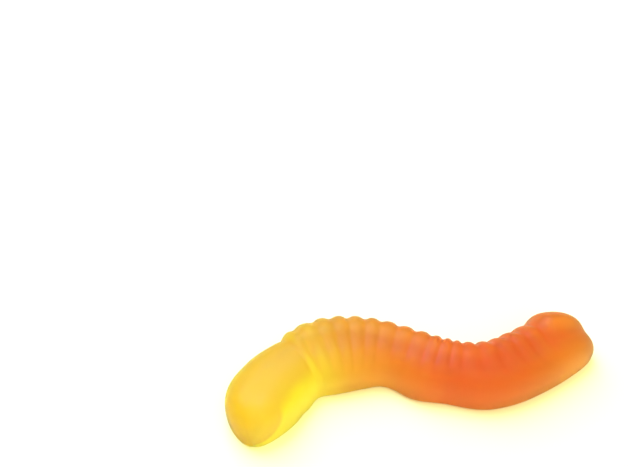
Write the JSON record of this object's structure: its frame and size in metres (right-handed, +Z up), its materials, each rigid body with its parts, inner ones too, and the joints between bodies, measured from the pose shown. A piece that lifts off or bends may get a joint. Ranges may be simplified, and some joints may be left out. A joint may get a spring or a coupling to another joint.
{
  "type": "gummy worm",
  "caption": "Moulded gummy worm candy bent into a loose S, with a ringed back, a smooth paddle tail and a rounded head, lying on its flat mould face.",
  "frame": {"origin": "middle of the worm's outline, on the flat face that it rests on", "axes": "+X from the tail towards the head, +Z up through the ringed back, +Y towards the outer side of the tail's bend, which is away from the viewer in the picture"},
  "size_m": [0.0604, 0.0232, 0.0083],
  "materials": {
    "gummy": "translucent jelly with a soft gloss, lemon yellow at the tail changing to orange at the head"
  },
  "bodies": {
    "root": {"gummy_worm": "gummy"}
  },
  "joints": []
}
